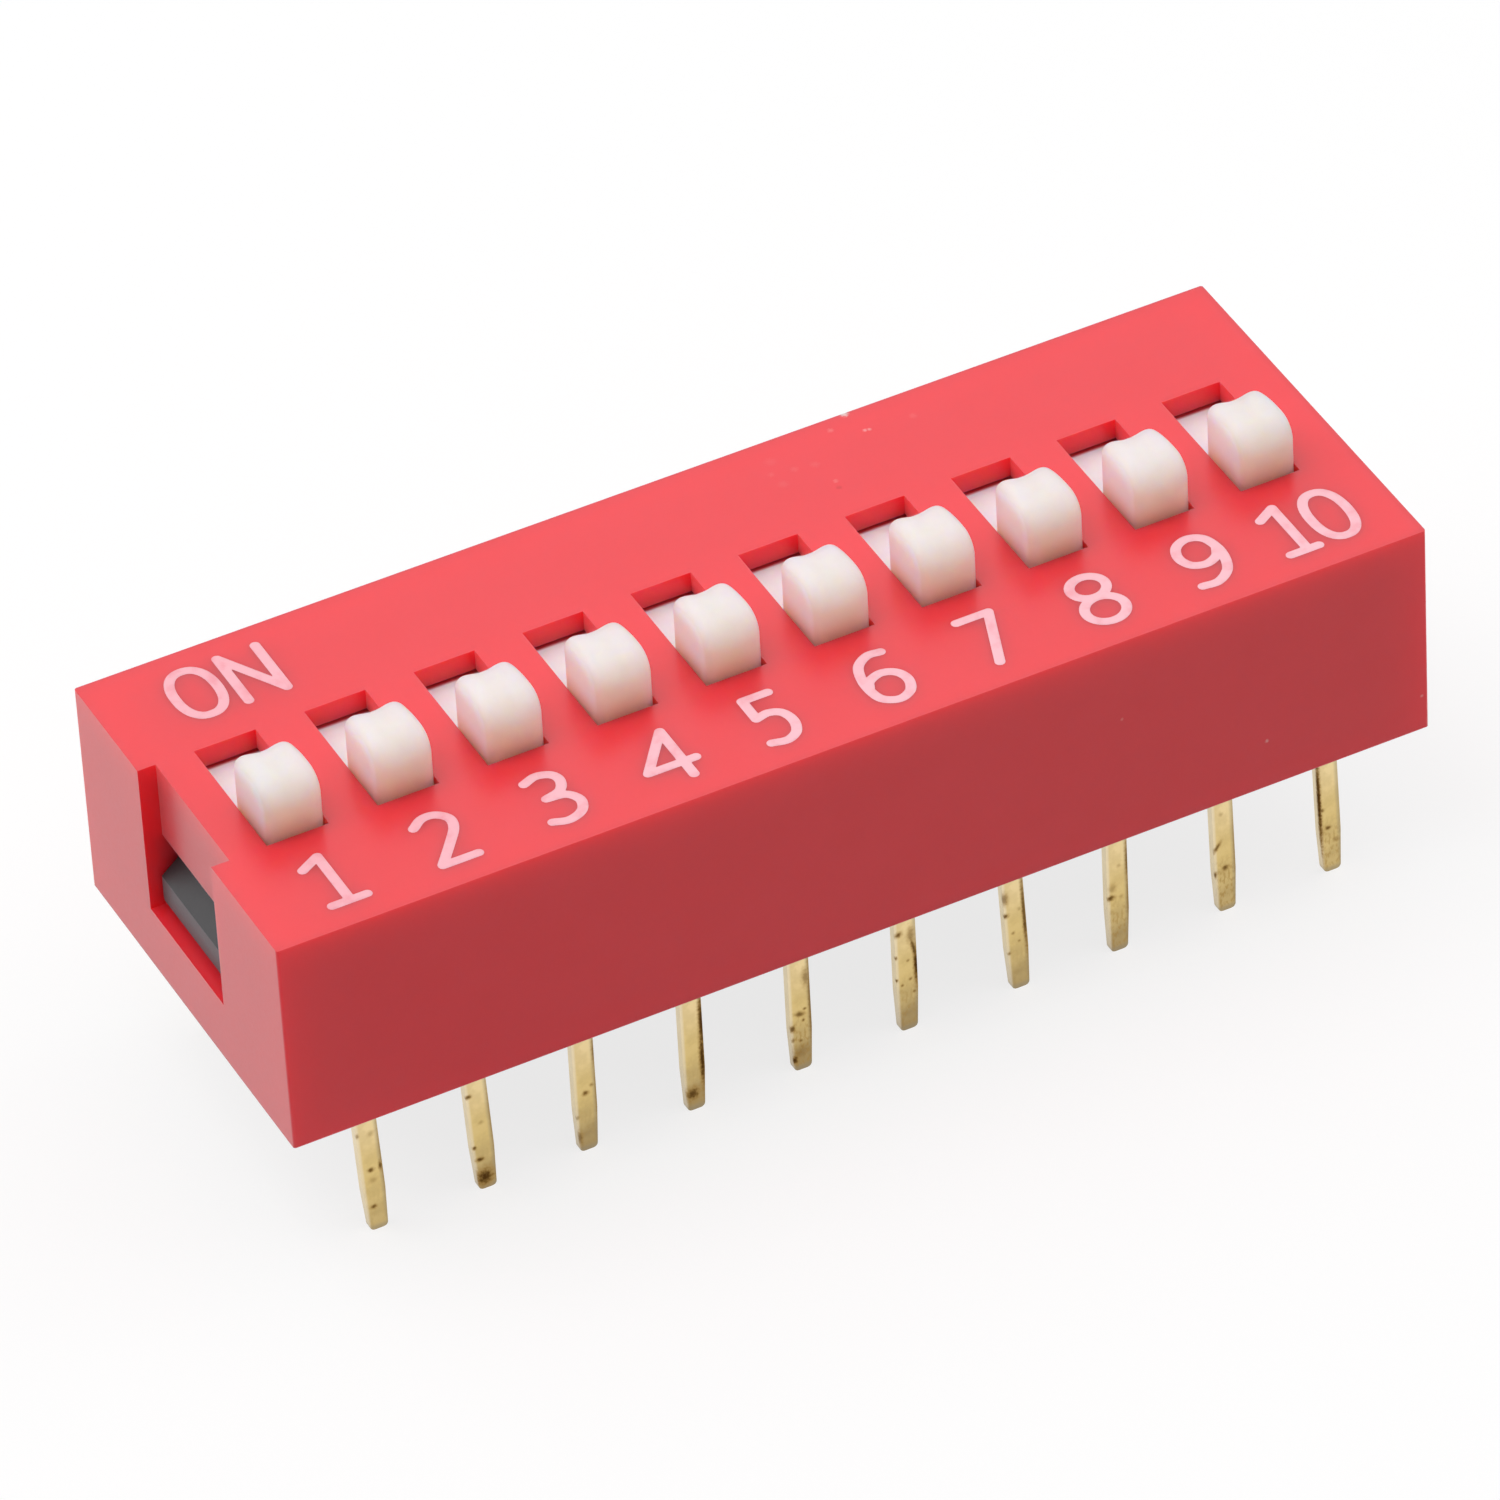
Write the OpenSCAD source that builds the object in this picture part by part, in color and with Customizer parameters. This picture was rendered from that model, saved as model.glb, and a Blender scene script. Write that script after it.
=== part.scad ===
// Ten-way DIP switch, raised-slide type, for through-hole boards.
// Origin: centre of the seating face, which lies on the board. X runs along the row of switches from
// number 1 to number 10, Y points to the ON side, and the pins go down to -Z.

/* [Switch row] */
// Number of switches in the row
ways = 10; // [2:1:10]
// Distance from one switch to the next
pitch = 2.54; // [2.54:0.01:2.7]
// Distance between the two rows of pins
row_spacing = 7.62; // [7.5:0.01:7.7]

/* [Cover] */
// Length of the cover beyond the outermost switch centres, both ends together
cover_end_allowance = 4; // [3.9:0.02:4.6]
// Distance from a row of pins to the outer face of the cover beside it
cover_side_allowance = 1.065; // [1.04:0.005:1.39]
// Height of the cover above the seating face
cover_h = 5.35; // [5.2:0.05:6.2]
// Thickness of the long side walls
side_wall = 0.6; // [0.5:0.05:0.65]
// Thickness of the end walls
end_wall = 0.72; // [0.7:0.01:0.75]
// Thickness of the top
top_wall = 0.5; // [0.45:0.01:0.55]
// Radius of the four upright outer edges
corner_r = 0.06; // [0.04:0.02:0.4]

/* [Slots] */
// Width of a slot, along the row
slot_w = 1.42; // [1.3:0.02:1.5]
// Length of a slot, in the direction of travel
slot_l = 3.5; // [3.3:0.05:3.6]

/* [Latches] */
// Width of the latch windows and of the notch in the end face of switch 1
latch_w = 3.54; // [3:0.02:4.2]
// Depth of the notch, open at the top
recess_depth = 0.42; // [0.38:0.01:0.45]
// Height of the ledge at the foot of the notch and the windows, above the seating face
ledge_h = 1.6; // [1.4:0.05:1.7]
// Height of the window above the ledge
window_h = 1.85; // [1.7:0.05:2.2]
// Height of the upright outer face of the latch
latch_face_h = 0.65; // [0.5:0.05:0.75]
// How far the latch stays behind the end face of the cover
latch_inset = 0.28; // [0.24:0.01:0.3]
// Angle of the latch's lead-in slope, from level
latch_slope = 40; // [35:1:45]

/* [Knobs] */
// Length of a knob, in the direction of travel
knob_l = 1.64; // [1.5:0.02:1.8]
// How far a knob stands above the cover
knob_rise = 1.32; // [0.8:0.02:1.5]
// Radius of the knob's upright edges
knob_edge_r = 0.22; // [0.1:0.02:0.28]
// Radius of the knob's top edges along its two flanks
knob_flank_r = 0.22; // [0.1:0.02:0.3]
// Radius of the knob's top edge at its front
knob_nose_r = 0.58; // [0.4:0.02:0.8]
// Radius of the knob's top edge at its back
knob_back_r = 0.26; // [0.15:0.01:0.35]
// Radius of the crown's gentle arch from front to back
knob_crown_r = 2.5; // [1.6:0.1:4]
// How far the top of that arch lies in front of the knob's middle
knob_crown_lead = 0.12; // [0:0.02:0.3]

/* [Slides] */
// Width of the shutter plate under the cover
plate_w = 1.75; // [1.65:0.05:1.85]
// Thickness of the shutter plate
plate_t = 0.5; // [0.4:0.05:0.6]
// How far the plate reaches past the slot's end with the knob at the other end
plate_lap = 0.2; // [0.15:0.05:0.3]
// Depth of the carrier under the plate
carrier_h = 1.37; // [1.3:0.01:1.4]
// Length of the carrier
carrier_l = 3.6; // [3.4:0.1:4]
// Thickness of the two skirts beside the contact
skirt_t = 0.24; // [0.2:0.01:0.26]
// Diameter of the peg that holds the contact
peg_d = 0.5; // [0.4:0.05:0.55]
// Diameter of the peg's staked head
peg_head_d = 0.86; // [0.8:0.02:0.9]
// Thickness of the peg's staked head
peg_head_t = 0.12; // [0.1:0.01:0.15]

/* [Contacts] */
// Thickness of the contact leaf
leaf_t = 0.1; // [0.08:0.01:0.12]
// Width of the contact leaf
leaf_w = 1; // [0.95:0.01:1.05]
// Half length of the leaf's flat middle
leaf_flat = 0.5; // [0.45:0.05:0.55]
// Distance from the middle of the leaf to each wiping foot
foot_reach = 1.4; // [1.35:0.05:1.45]
// Centre-line radius of a wiping foot
foot_r = 0.25; // [0.2:0.01:0.3]
// Length of the upturned tip after a foot
foot_tip = 0.2; // [0.1:0.05:0.25]
// Angle of the upturned tip, from level
foot_tip_angle = 50; // [40:5:60]

/* [Base] */
// Thickness of the floor under the contacts
floor_t = 1.7; // [1.6:0.05:1.8]

// Depth of the relief round each pin in the underside
relief_depth = 0.15; // [0.1:0.05:0.3]

/* [Terminals] */
// Thickness of the terminal strip
pin_t = 0.2; // [0.16:0.01:0.28]
// Width of a pin where it leaves the base
pin_w = 0.51; // [0.45:0.01:0.6]
// Width of a pin at its tip
pin_tip_w = 0.42; // [0.3:0.01:0.46]
// Length of a pin below the seating face
pin_l = 3.92; // [2.8:0.02:4]
// Length of the taper at the tip of a pin
pin_taper_l = 1.1; // [0.8:0.05:1.4]
// Corner radius at the tip of a pin
pin_tip_r = 0.11; // [0.05:0.01:0.14]
// Width of the contact pad and of the shoulder held in the base
pad_w = 1; // [0.9:0.02:1.1]
// Centre-line radius of the bend between pad and pin
bend_r = 0.25; // [0.2:0.01:0.3]
// Height of the shoulder's underside above the seating face
shoulder_h = 0.6; // [0.5:0.05:0.8]
// Gap between the front pad and the back pad
pad_gap = 0.6; // [0.5:0.05:0.7]
// Sideways lean of each front pin in degrees, toward the high numbers
front_lean = [2.4, 2.4, 0, 0, 0, 0, 2.2, 0, 1.2, 1.8];

/* [Fits] */
// Clearance between cover and base, all round
shell_fit = 0.05; // [0.03:0.01:0.07]
// Clearance between a knob and its slot, each side
knob_fit = 0.03; // [0.02:0.01:0.04]
// Gap under the latch, above the ledge
latch_clear = 0.2; // [0.1:0.05:0.25]
// Clearance over and beside a shutter plate
slide_fit = 0.08; // [0.06:0.01:0.1]
// Clearance under a slide's skirts
skirt_fit = 0.12; // [0.1:0.01:0.15]
// Running clearance under the wiping feet
foot_fit = 0.02; // [0.02:0.01:0.03]
// Clearance between the peg and the hole in the contact, on the radius
peg_fit = 0.03; // [0.02:0.01:0.04]
// Clearance between a pin and its relief, along the row
relief_side = 0.16; // [0.12:0.02:0.2]
// Clearance between a pin and its relief, across the row
relief_end = 0.08; // [0.06:0.01:0.1]

/* [Hidden] */
$fn = 48;
CUT = 1;              // how far a cutting shape runs past the face that it opens
ARC_STEPS = 8;        // straight steps in a bend of a strip

cover_l = (ways - 1) * pitch + cover_end_allowance;
cover_w = row_spacing + 2 * cover_side_allowance;
cover_in_w = cover_w - 2 * side_wall;
cover_in_l = cover_l - 2 * end_wall;
cover_in_h = cover_h - top_wall;

base_w = cover_in_w - 2 * shell_fit;
base_l = cover_in_l - 2 * shell_fit;
base_h = cover_in_h - shell_fit;

// A slide stands at -travel / 2 when OFF and at +travel / 2 when ON.
knob_w = slot_w - 2 * knob_fit;
travel = slot_l - knob_l - 2 * knob_fit;
off_y = -travel / 2;
plate_l = slot_l + travel + 2 * plate_lap;
plate_top = cover_in_h - slide_fit;
plate_bottom = plate_top - plate_t;
carrier_bottom = plate_bottom - carrier_h;
skirt_bottom = floor_t + skirt_fit;
knob_h = cover_h + knob_rise - plate_top;

cell_w = plate_w + 2 * slide_fit;
cell_l = plate_l + travel + 2 * slide_fit;
end_rib = base_l / 2 - (ways - 1) * pitch / 2 - cell_w / 2;

leaf_z = carrier_bottom - leaf_t / 2;
foot_z = floor_t + foot_fit + leaf_t / 2 + foot_r;

// At OFF both feet stand on the front pad, and at ON the back foot has crossed the gap.
pad_gap_y = off_y + foot_reach + (travel - pad_gap) / 2;
pad_z = floor_t - pin_t / 2;
leg_y = row_spacing / 2;

function two_digits(i) = str(i < 10 ? "0" : "", i);
function slider_name(i) = str("slider_", two_digits(i));
function contact_name(i) = str("contact_", two_digits(i));
function front_name(i) = str("terminal_front_", two_digits(i));
function back_name(i) = str("terminal_back_", two_digits(i));

// Place of switch i along the row, with switch 1 at the -X end.
function switch_x(i) = (i - (ways + 1) / 2) * pitch;

// Points along an arc about centre c, from angle a to angle b.
function arc(c, r, a, b, steps = ARC_STEPS) =
    [for (k = [0:steps]) let (t = a + (b - a) * k / steps) c + r * [cos(t), sin(t)]];

function unit(v) = v / norm(v);

// Outline of a strip of thickness t that follows a bent centre line, with mitred bends.
function strip_outline(path, t) =
    let (
        n = len(path),
        run = [for (k = [0:n - 2]) unit(path[k + 1] - path[k])],
        mean = [for (k = [0:n - 1]) (run[max(k - 1, 0)] + run[min(k, n - 2)]) / 2],
        side = [for (m = mean) [-m.y, m.x] / (m * m) * t / 2]
    )
    concat([for (k = [0:n - 1]) path[k] + side[k]], [for (k = [n - 1:-1:0]) path[k] - side[k]]);

// Turns a side view drawn in the Y-Z plane into a solid of width w, centred on X = 0.
module from_side(w) {
    translate([-w / 2, 0, 0])
        rotate([90, 0, 90])
            linear_extrude(w)
                children();
}

// Turns a front view drawn in the X-Z plane into a solid of depth d, centred on Y = 0.
module from_front(d) {
    translate([0, d / 2, 0])
        rotate([90, 0, 0])
            linear_extrude(d)
                children();
}

// Rectangle centred on the origin with rounded corners.
module rounded_rect(l, w, r) {
    square([l - 2 * r, w], center = true);
    square([l, w - 2 * r], center = true);
    for (x = [-1, 1], y = [-1, 1])
        translate([x * (l / 2 - r), y * (w / 2 - r)])
            circle(r);
}

// Box that stands on z, centred on X and Y.
module block(l, w, z, h) {
    translate([-l / 2, -w / 2, z])
        cube([l, w, h]);
}

// ---- Cover: red shell, open below ----

// Latch windows in both end walls, and the notch in the end of switch 1, open at the top.
module latch_openings() {
    for (turn = [0, 180])
        rotate([0, 0, turn])
            translate([cover_l / 2 - end_wall - CUT, -latch_w / 2, ledge_h])
                cube([end_wall + 2 * CUT, latch_w, window_h]);
    translate([-cover_l / 2 - CUT, -latch_w / 2, ledge_h])
        cube([recess_depth + CUT, latch_w, cover_h - ledge_h + CUT]);
}

module cover() {
    color("#e8474b")
        difference() {
            linear_extrude(cover_h)
                rounded_rect(cover_l, cover_w, corner_r);
            block(cover_in_l, cover_in_w, -CUT, cover_in_h + CUT);
            for (i = [1:ways])
                translate([switch_x(i), 0, 0])
                    block(slot_w, slot_l, cover_in_h - CUT, top_wall + 2 * CUT);
            latch_openings();
        }
}

// ---- Base: dark grey tray with one cell for each switch ----

// Latch in side view: level underside, upright outer face and a lead-in slope above.
module latch() {
    root = base_l / 2 - end_rib / 2;
    nose = cover_l / 2 - latch_inset;
    underside = ledge_h + latch_clear;
    shoulder = underside + latch_face_h;
    crest = shoulder + (nose - base_l / 2) * tan(latch_slope);
    from_front(latch_w - 2 * shell_fit)
        polygon([
            [root, underside],
            [nose, underside],
            [nose, shoulder],
            [base_l / 2, crest],
            [root, crest]
        ]);
}

module base() {
    color("#4a4a4c")
        difference() {
            union() {
                block(base_l, base_w, 0, base_h);
                latch();
                rotate([0, 0, 180])
                    latch();
            }
            for (i = [1:ways])
                translate([switch_x(i), 0, 0])
                    block(cell_w, cell_l, floor_t, base_h);
            for (i = [1:ways]) {
                front_strip(i);
                back_strip(i);
            }
            // The underside stays clear of the pins, so a leaning pin doesn't lift it off the board
            for (i = [1:ways], side = [-1, 1])
                translate([switch_x(i), side * leg_y, 0])
                    block(pin_w + 2 * relief_side, pin_t + 2 * relief_end, -CUT, relief_depth + CUT);
        }
}

// ---- Terminals: stamped and bent strips moulded into the base ----

// Bent strip in side view: the pad, the bend and the straight leg at +Y. inner_y is the pad's inner end.
module terminal_side(inner_y) {
    from_side(pad_w + CUT)
        polygon(strip_outline(
            concat(
                [[inner_y, pad_z]],
                arc([leg_y - bend_r, pad_z - bend_r], bend_r, 90, 0),
                [[leg_y, -pin_l - CUT]]
            ),
            pin_t
        ));
}

// Stamped outline in front view: the wide shoulder above, and the tapered pin that leans below it.
module terminal_front(lean) {
    tip = [pin_tip_w / 2 - pin_tip_r, pin_tip_r - pin_l];
    right = concat(
        [
            [pad_w / 2, floor_t + CUT],
            [pad_w / 2, shoulder_h],
            [pin_w / 2, shoulder_h],
            [pin_w / 2, 0],
            [pin_w / 2, pin_taper_l - pin_l]
        ],
        arc(tip, pin_tip_r, 0, -90, ARC_STEPS / 2)
    );
    left = [for (k = [len(right) - 1:-1:0]) [-right[k].x, right[k].y]];
    polygon([for (p = concat(right, left)) [p.x - min(p.y, 0) * tan(lean), p.y]]);
}

module terminal(inner_y, lean) {
    intersection() {
        terminal_side(inner_y);
        from_front(2 * cover_w)
            terminal_front(lean);
    }
}

module front_strip(i) {
    translate([switch_x(i), 0, 0])
        mirror([0, 1, 0])
            terminal(-pad_gap_y, front_lean[i - 1]);
}

module back_strip(i) {
    translate([switch_x(i), 0, 0])
        terminal(pad_gap_y + pad_gap, 0);
}

module front_terminal(i) {
    color("#d2b567")
        front_strip(i);
}

module back_terminal(i) {
    color("#d2b567")
        back_strip(i);
}

// ---- Slides: knob, shutter plate and carrier in one moulding ----

// Knob as the common volume of its plan, its front view and its side view. The corners of all three are
// rounded, and the side view lies under the arch of the crown.
module knob() {
    translate([0, 0, plate_top])
        intersection() {
            linear_extrude(knob_h)
                rounded_rect(knob_w, knob_l, knob_edge_r);
            from_front(knob_l)
                rounded_rect(knob_w, 2 * knob_h, knob_flank_r);
            from_side(knob_w)
                intersection() {
                    rounded_rect(knob_l, 2 * knob_h, knob_back_r);
                    translate([knob_l / 2, 0])
                        rounded_rect(2 * knob_l, 2 * knob_h, knob_nose_r);
                    translate([-knob_crown_lead, knob_h - knob_crown_r])
                        circle(knob_crown_r);
                }
        }
}

module slider(i) {
    color("#f3e6e0")
        translate([switch_x(i), off_y, 0]) {
            knob();
            block(plate_w, plate_l, plate_bottom, plate_t);
            difference() {
                block(plate_w, carrier_l, skirt_bottom, plate_bottom - skirt_bottom);
                block(plate_w - 2 * skirt_t, carrier_l + CUT, 0, carrier_bottom);
            }
            translate([0, 0, carrier_bottom - leaf_t]) {
                cylinder(d = peg_d, h = leaf_t + CUT / 2);
                translate([0, 0, -peg_head_t])
                    cylinder(d = peg_head_d, h = peg_head_t);
            }
        }
}

// ---- Contacts: leaf springs that bridge the two pads ----

// Angle at which the straight arm leaves the flat middle to run tangent to the foot.
arm_reach = [foot_reach - leaf_flat, foot_z - leaf_z];
arm_angle = atan2(arm_reach.y, arm_reach.x) - asin(foot_r / norm(arm_reach));

// Centre line of the leaf from the flat middle to the tip, on the +Y side.
function leaf_half_path() =
    let (
        foot = arc([foot_reach, foot_z], foot_r, arm_angle - 90, foot_tip_angle - 90),
        tip = foot[len(foot) - 1] + foot_tip * [cos(foot_tip_angle), sin(foot_tip_angle)]
    )
    concat([[leaf_flat, leaf_z]], foot, [tip]);

module contact(i) {
    half = leaf_half_path();
    other_half = [for (k = [len(half) - 1:-1:0]) [-half[k].x, half[k].y]];
    color("#c9a656")
        translate([switch_x(i), off_y, 0])
            difference() {
                from_side(leaf_w)
                    polygon(strip_outline(concat(other_half, half), leaf_t));
                translate([0, 0, leaf_z - leaf_t])
                    cylinder(r = peg_d / 2 + peg_fit, h = 2 * leaf_t);
            }
}

cover();
base();
for (i = [1:ways]) {
    slider(i);
    contact(i);
    front_terminal(i);
    back_terminal(i);
}
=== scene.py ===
"""Dresses a ten-way DIP switch: red cover, cream slides, dark base, plated pins and printed numbers.

All lengths in the dataclasses are millimetres in the frame of the part: X runs along the row from switch 1
to switch 10, Y points to the ON side and Z up out of the circuit board. Meshes are written in metres.
"""

import logging
import math
from dataclasses import dataclass, field
from enum import Enum
from typing import Any, Sequence

import bpy
import numpy as np
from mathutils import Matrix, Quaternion, Vector


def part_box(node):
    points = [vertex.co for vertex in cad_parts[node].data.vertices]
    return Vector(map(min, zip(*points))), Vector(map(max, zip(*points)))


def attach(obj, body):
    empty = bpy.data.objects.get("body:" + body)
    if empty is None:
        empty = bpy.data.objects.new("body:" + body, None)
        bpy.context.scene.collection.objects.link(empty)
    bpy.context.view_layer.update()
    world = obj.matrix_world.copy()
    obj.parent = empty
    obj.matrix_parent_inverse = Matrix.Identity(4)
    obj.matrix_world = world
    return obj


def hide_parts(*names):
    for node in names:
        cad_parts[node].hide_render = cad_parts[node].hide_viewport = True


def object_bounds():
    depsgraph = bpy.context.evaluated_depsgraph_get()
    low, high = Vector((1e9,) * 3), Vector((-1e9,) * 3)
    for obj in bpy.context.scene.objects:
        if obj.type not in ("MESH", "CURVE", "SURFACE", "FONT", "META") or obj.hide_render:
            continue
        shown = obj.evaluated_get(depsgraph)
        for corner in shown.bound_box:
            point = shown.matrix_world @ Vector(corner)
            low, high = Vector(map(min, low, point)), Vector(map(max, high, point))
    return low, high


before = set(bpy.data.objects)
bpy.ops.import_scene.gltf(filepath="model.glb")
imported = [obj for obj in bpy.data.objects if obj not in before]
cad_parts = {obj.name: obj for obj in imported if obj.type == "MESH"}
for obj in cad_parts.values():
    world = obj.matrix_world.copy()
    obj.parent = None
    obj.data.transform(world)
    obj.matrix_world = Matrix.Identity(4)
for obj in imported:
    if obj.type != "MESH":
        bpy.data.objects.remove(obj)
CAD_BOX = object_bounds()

log = logging.getLogger("dip_switch")

MM = 0.001
WAYS = 10
GLOSS_SPREAD = 0.015
FRACTAL = 0.55
SMOOTH = {"interpolation_type": "SMOOTHSTEP"}
WHITE = (1.0, 1.0, 1.0, 1.0)
Array = np.ndarray
Socket = bpy.types.NodeSocket
Tree = bpy.types.NodeTree
Node = bpy.types.Node
Source = Node | Socket
Material = bpy.types.Material
Solid = tuple[Array, Array]
Pair = tuple[float, float]
Triple = tuple[float, float, float]
Stroke = Sequence[Pair]


class Slot(Enum):
    """Material slots of the record."""

    COVER = "cover_red"
    BASE = "base_grey"
    SLIDE = "slide_cream"
    CONTACT = "contact_plated"
    PIN = "pin_plated"


class Body(Enum):
    """Rigid bodies that a piece can ride on."""

    HOUSING = "housing"
    SWITCH = "switch_{:02d}"

    def named(self, number: int = 0) -> str:
        """Name of the body, for the given switch where there is one for each."""
        return self.value.format(number)


# ---- Colours and nodes ----


def srgb(code: str) -> tuple[float, float, float, float]:
    """Linear colour of an sRGB hex code.

    Args:
        code: Six hex digits, with or without a leading #.

    Returns:
        Red, green, blue and alpha in linear light.
    """
    digits = code.lstrip("#")
    parts = np.array([int(digits[k:k + 2], 16) for k in (0, 2, 4)]) / 255
    linear = np.where(parts <= 0.04045, parts / 12.92, ((parts + 0.055) / 1.055) ** 2.4)
    return (*linear.tolist(), 1.0)


def add(tree: Tree, kind: str, inputs: dict[Any, Any] | tuple[Any, ...] = (), **settings: Any) -> Node:
    """Adds one shader node.

    Args:
        tree: The node tree that the node goes into.
        kind: Blender's type name of the node, without its ShaderNode.
        inputs: Value, source socket or source node for each input, by name or number or in order. A node
            gives its first output.
        settings: Attributes of the node itself.

    Returns:
        The new node.
    """
    made = tree.nodes.new("ShaderNode" + kind)
    for key, value in settings.items():
        setattr(made, key, value)
    for key, value in inputs.items() if isinstance(inputs, dict) else enumerate(inputs):
        if isinstance(value, Node):
            value = value.outputs[0]
        if isinstance(value, Socket):
            tree.links.new(value, made.inputs[key])
        else:
            made.inputs[key].default_value = value
    return made


def per_metre(size_mm: float) -> float:
    """Noise scale, in cells to the metre, of a pattern with the given cell size in millimetres."""
    return 1.0 / (size_mm * MM)


def new_material(name: str) -> tuple[Material, Tree, Socket]:
    """Empty node material.

    Args:
        name: Name of the material.

    Returns:
        The material, its node tree and its Object coordinates.
    """
    made = bpy.data.materials.new(name)
    made.use_nodes = True
    tree = made.node_tree
    tree.nodes.clear()
    return made, tree, add(tree, "TexCoord").outputs["Object"]


def layered(tree: Tree, base: str, layers: Sequence[tuple[Source, str]]) -> Socket:
    """Lays colours over a base, one after the other.

    Args:
        tree: The node tree.
        base: Colour of the base.
        layers: Share from 0 to 1 and colour of each layer.

    Returns:
        The colour that shows.
    """
    colour: Any = srgb(base)
    for share, shade in layers:
        colour = add(tree, "Mix", {0: share, 6: colour, 7: srgb(shade)}, data_type="RGBA").outputs[2]
    return colour


def skin(tree: Tree, grain: Source, depth_mm: float, inputs: dict[str, Any]) -> Node:
    """Ends a material with a principled shader over a bump map.

    Args:
        tree: The node tree.
        grain: Height of the skin, as a share of its depth.
        depth_mm: Depth of the bumps.
        inputs: Value or source socket for each input of the shader.

    Returns:
        The bump node.
    """
    bump = add(tree, "Bump", {"Height": grain, "Distance": depth_mm * MM, "Strength": 1.0})
    surface = add(tree, "BsdfPrincipled", {**inputs, "Normal": bump})
    add(tree, "OutputMaterial", {"Surface": surface})
    return bump


# ---- Finishes ----


@dataclass(frozen=True)
class Scuff:
    """One small mark on a moulding, round and broken up at its edge."""

    place_mm: Triple  # Its middle, from the datum of its moulding.
    radius_mm: float  # How far it reaches.
    colour: str = "#FFA4A6"  # Its colour, pale where the skin is scratched and dark in a pit.
    strength: float = 0.3  # How much of that colour shows, from 0 to 1.

    def share(self, tree: Tree, where: Source, chips: Source) -> Node:
        """Share of the mark's colour, which fades with the distance from its middle plus some noise.

        Args:
            tree: The node tree.
            where: Coordinates from the datum.
            chips: Fine noise.

        Returns:
            The share.
        """
        middle = tuple(value * MM for value in self.place_mm)
        reach = self.radius_mm * MM
        away = add(tree, "VectorMath", (where, middle), operation="DISTANCE").outputs["Value"]
        rim = add(tree, "Math", (chips, reach, away), operation="MULTIPLY_ADD")
        return add(tree, "MapRange", (rim, 0.6 * reach, 1.6 * reach, self.strength, 0.0), **SMOOTH)


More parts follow.
